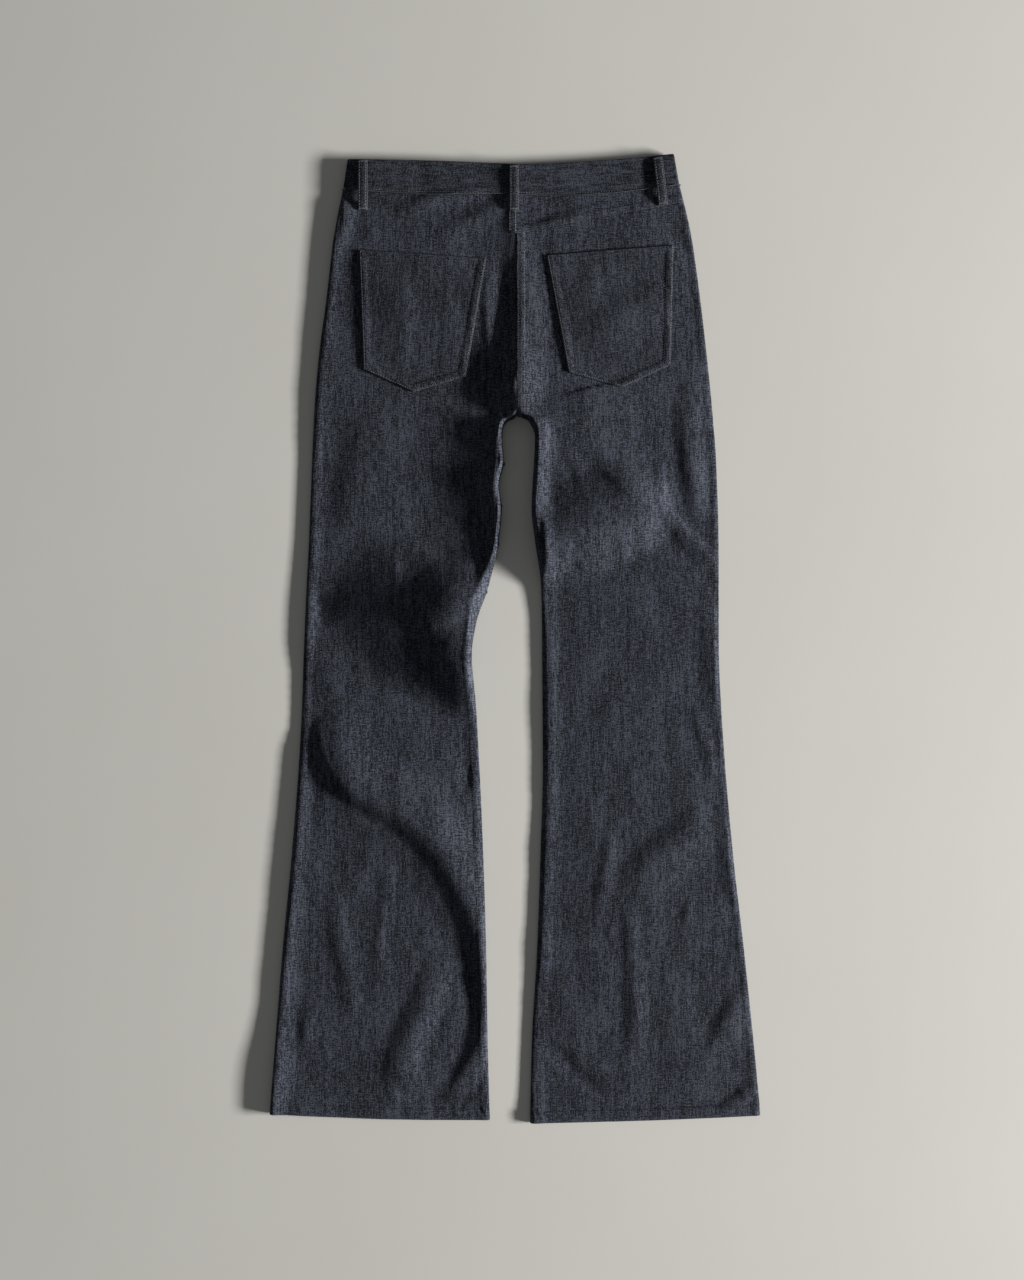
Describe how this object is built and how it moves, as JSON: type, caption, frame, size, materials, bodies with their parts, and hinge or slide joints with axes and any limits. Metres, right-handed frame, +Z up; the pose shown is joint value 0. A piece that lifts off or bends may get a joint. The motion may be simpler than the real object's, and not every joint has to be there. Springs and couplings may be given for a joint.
{
  "type": "flared jeans",
  "caption": "Flared raw-denim jeans laid flat, seat side up, with patch pockets, a pointed yoke, belt loops and wide hems.",
  "frame": {"origin": "centre of the jeans' box, on the floor under them", "axes": "+Z up from the floor, +Y from the hems to the waist, +X to the wearer's right"},
  "size_m": [0.5756, 1.136, 0.0333],
  "materials": {
    "panel_denim": "matte raw black-grey denim with slubs",
    "band_denim": "matte raw denim, two layers",
    "pocket_denim": "matte raw denim",
    "loop_denim": "matte raw denim strap",
    "button_metal": "aged, satin"
  },
  "bodies": {
    "root": {"waistband": "band_denim", "yoke_left": "panel_denim", "yoke_right": "panel_denim", "back_leg_left": "panel_denim", "back_leg_right": "panel_denim", "front_leg_left": "panel_denim", "front_leg_right": "panel_denim", "back_pocket_left": "pocket_denim", "back_pocket_right": "pocket_denim", "fly_placket": "panel_denim", "belt_loop_back_left": "loop_denim", "belt_loop_back_centre": "loop_denim", "belt_loop_back_right": "loop_denim", "belt_loop_front_left": "loop_denim", "belt_loop_front_right": "loop_denim", "waist_button": "button_metal"}
  },
  "joints": []
}
